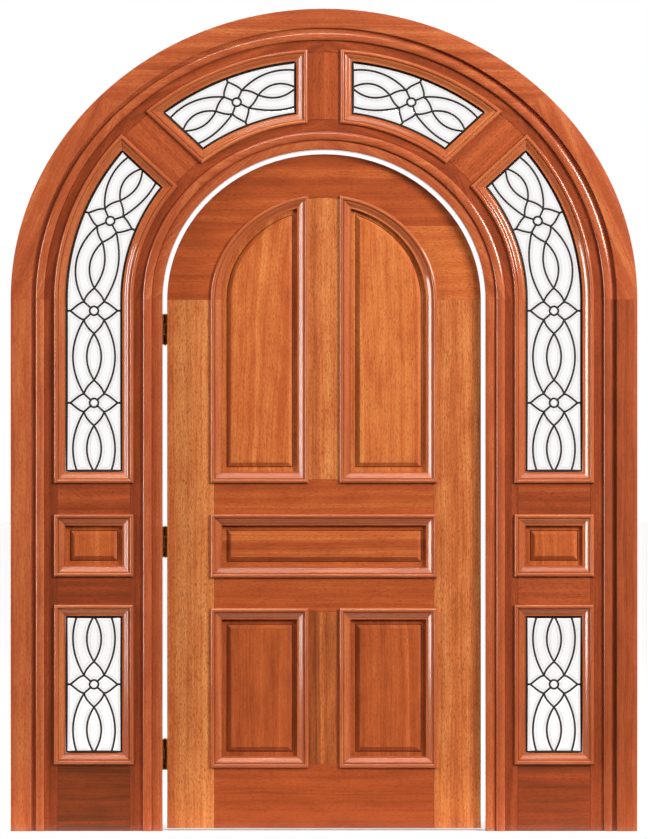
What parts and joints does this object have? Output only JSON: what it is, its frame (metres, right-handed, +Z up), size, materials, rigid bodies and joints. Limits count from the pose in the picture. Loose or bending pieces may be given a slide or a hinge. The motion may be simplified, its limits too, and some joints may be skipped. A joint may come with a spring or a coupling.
{
  "type": "arched glazed wooden door with frame",
  "caption": "Arched panelled wooden door hinged in a wide moulded frame, with leaded glass sidelights and transom lights curving over its head.",
  "frame": {"origin": "bottom centre of the doorway at the back plane of the frame, on the floor, where the rough opening holds it", "axes": "+Z up, +X to the right seen from the front, -Y towards the viewer in front of the door; the leaf opens towards +Y"},
  "size_m": [1.822, 0.1085, 2.3914],
  "materials": {
    "frame_wood": "gloss lacquered mahogany, orange-brown",
    "sash_wood": "gloss lacquered mahogany, dark red-brown",
    "leaf_wood": "gloss lacquered mahogany, golden orange-brown with fine dark pores",
    "rail_wood": "gloss lacquered mahogany, grain running level",
    "panel_wood": "gloss lacquered mahogany, ribbon and cathedral grain",
    "moulding_wood": "gloss lacquered mahogany, red-orange with bright edges",
    "bevelled_glass": "clear, bevelled along the cames",
    "came_metal": "black-brown patinated came",
    "hinge_brass": "satin"
  },
  "bodies": {
    "frame": {"outer_frame": "frame_wood", "inner_frame": "frame_wood", "sash_outer_ring": "sash_wood", "sash_inner_ring": "sash_wood", "spoke_left": "sash_wood", "spoke_right": "sash_wood", "crown_post": "sash_wood", "sidelight_bottom_rail_left": "sash_wood", "sidelight_bottom_rail_right": "sash_wood", "sidelight_lock_rail_left": "sash_wood", "sidelight_lock_rail_right": "sash_wood", "sidelight_upper_rail_left": "sash_wood", "sidelight_upper_rail_right": "sash_wood", "sidelight_panel_left": "panel_wood", "sidelight_panel_right": "panel_wood", "sidelight_panel_moulding_left": "moulding_wood", "sidelight_panel_moulding_right": "moulding_wood", "sidelight_lower_moulding_left": "moulding_wood", "sidelight_lower_moulding_right": "moulding_wood", "sidelight_upper_moulding_left": "moulding_wood", "sidelight_upper_moulding_right": "moulding_wood", "transom_moulding_left": "moulding_wood", "transom_moulding_right": "moulding_wood", "sidelight_lower_glass_left": "bevelled_glass", "sidelight_lower_glass_right": "bevelled_glass", "sidelight_upper_glass_left": "bevelled_glass", "sidelight_upper_glass_right": "bevelled_glass", "transom_glass_left": "bevelled_glass", "transom_glass_right": "bevelled_glass", "sidelight_lower_leading_left": "came_metal", "sidelight_lower_leading_right": "came_metal", "sidelight_upper_leading_left": "came_metal", "sidelight_upper_leading_right": "came_metal", "transom_leading_left": "came_metal", "transom_leading_right": "came_metal", "hinge_bottom_frame_leaf": "hinge_brass", "hinge_middle_frame_leaf": "hinge_brass", "hinge_top_frame_leaf": "hinge_brass"},
    "leaf": {"leaf_stile_left": "leaf_wood", "leaf_stile_right": "leaf_wood", "leaf_lower_muntin": "leaf_wood", "leaf_upper_muntin": "leaf_wood", "leaf_arched_rail": "rail_wood", "leaf_bottom_rail": "rail_wood", "leaf_lock_rail": "rail_wood", "leaf_upper_rail": "rail_wood", "leaf_panel_lower_left": "panel_wood", "leaf_panel_lower_right": "panel_wood", "leaf_panel_middle": "panel_wood", "leaf_panel_arched_left": "panel_wood", "leaf_panel_arched_right": "panel_wood", "leaf_moulding_lower_left": "moulding_wood", "leaf_moulding_lower_right": "moulding_wood", "leaf_moulding_middle": "moulding_wood", "leaf_moulding_arched_left": "moulding_wood", "leaf_moulding_arched_right": "moulding_wood", "hinge_bottom_door_leaf": "hinge_brass", "hinge_middle_door_leaf": "hinge_brass", "hinge_top_door_leaf": "hinge_brass"}
  },
  "joints": [
    {"name": "leaf_hinge", "type": "hinge", "parent": "frame", "child": "leaf", "pos_m": [-0.4635, 0.008, 0.84], "axis": [0, 0, 1], "range_deg": [0, 110]}
  ]
}
